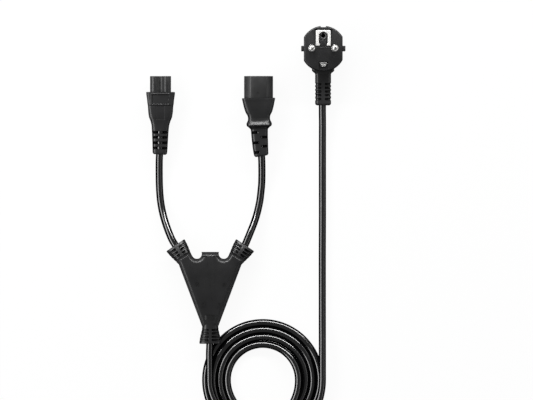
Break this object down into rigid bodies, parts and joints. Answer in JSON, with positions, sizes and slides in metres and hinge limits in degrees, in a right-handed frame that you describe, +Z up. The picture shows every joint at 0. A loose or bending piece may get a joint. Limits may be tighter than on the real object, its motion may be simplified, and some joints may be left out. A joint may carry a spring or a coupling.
{
  "type": "power cord splitter",
  "caption": "Mains lead with an angled earthed plug and a moulded Y block that splits it into tails with a wide and a clover-leaf appliance connector.",
  "frame": {"origin": "middle of the flat underside of the Y block, on the surface that the lead lies on", "axes": "+Z up through the plug's pins, +Y from the coil towards the plug and the connectors' open ends, +X from the Y block towards the plug"},
  "size_m": [0.164, 0.3455, 0.0515],
  "materials": {
    "rubber": "fine matt moulding grain",
    "jacket": "smooth satin",
    "hard_block": "smooth satin",
    "nickel": "bright nickel plate",
    "brass": "stamped, slightly dull",
    "core_brown": "satin",
    "core_blue": "satin",
    "core_green": "satin"
  },
  "bodies": {
    "root": {"splitter_body": "rubber", "splitter_splice_earth": "brass", "splitter_splice_line": "brass", "splitter_splice_neutral": "brass", "splitter_main_core_earth": "core_green", "splitter_main_core_line": "core_brown", "splitter_main_core_neutral": "core_blue", "splitter_left_core_earth": "core_green", "splitter_left_core_line": "core_brown", "splitter_left_core_neutral": "core_blue", "splitter_right_core_earth": "core_green", "splitter_right_core_line": "core_brown", "splitter_right_core_neutral": "core_blue", "plug_body": "rubber", "plug_pin_bridge": "hard_block", "plug_pin_line": "nickel", "plug_pin_neutral": "nickel", "plug_earth_frame": "nickel", "plug_earth_strap": "nickel", "plug_earth_socket": "nickel", "plug_core_earth": "core_green", "plug_core_line": "core_brown", "plug_core_neutral": "core_blue", "wide_shell": "rubber", "wide_contact_block": "hard_block", "wide_contact_earth": "brass", "wide_contact_line": "brass", "wide_contact_neutral": "brass", "wide_core_earth": "core_green", "wide_core_line": "core_brown", "wide_core_neutral": "core_blue", "clover_shell": "rubber", "clover_contact_block": "hard_block", "clover_contact_earth": "brass", "clover_contact_line": "brass", "clover_contact_neutral": "brass", "clover_core_earth": "core_green", "clover_core_line": "core_brown", "clover_core_neutral": "core_blue", "cord_coil": "jacket", "cord_block_run": "jacket", "cord_plug_run": "jacket", "cord_left_tail": "jacket", "cord_right_tail": "jacket"}
  },
  "joints": []
}
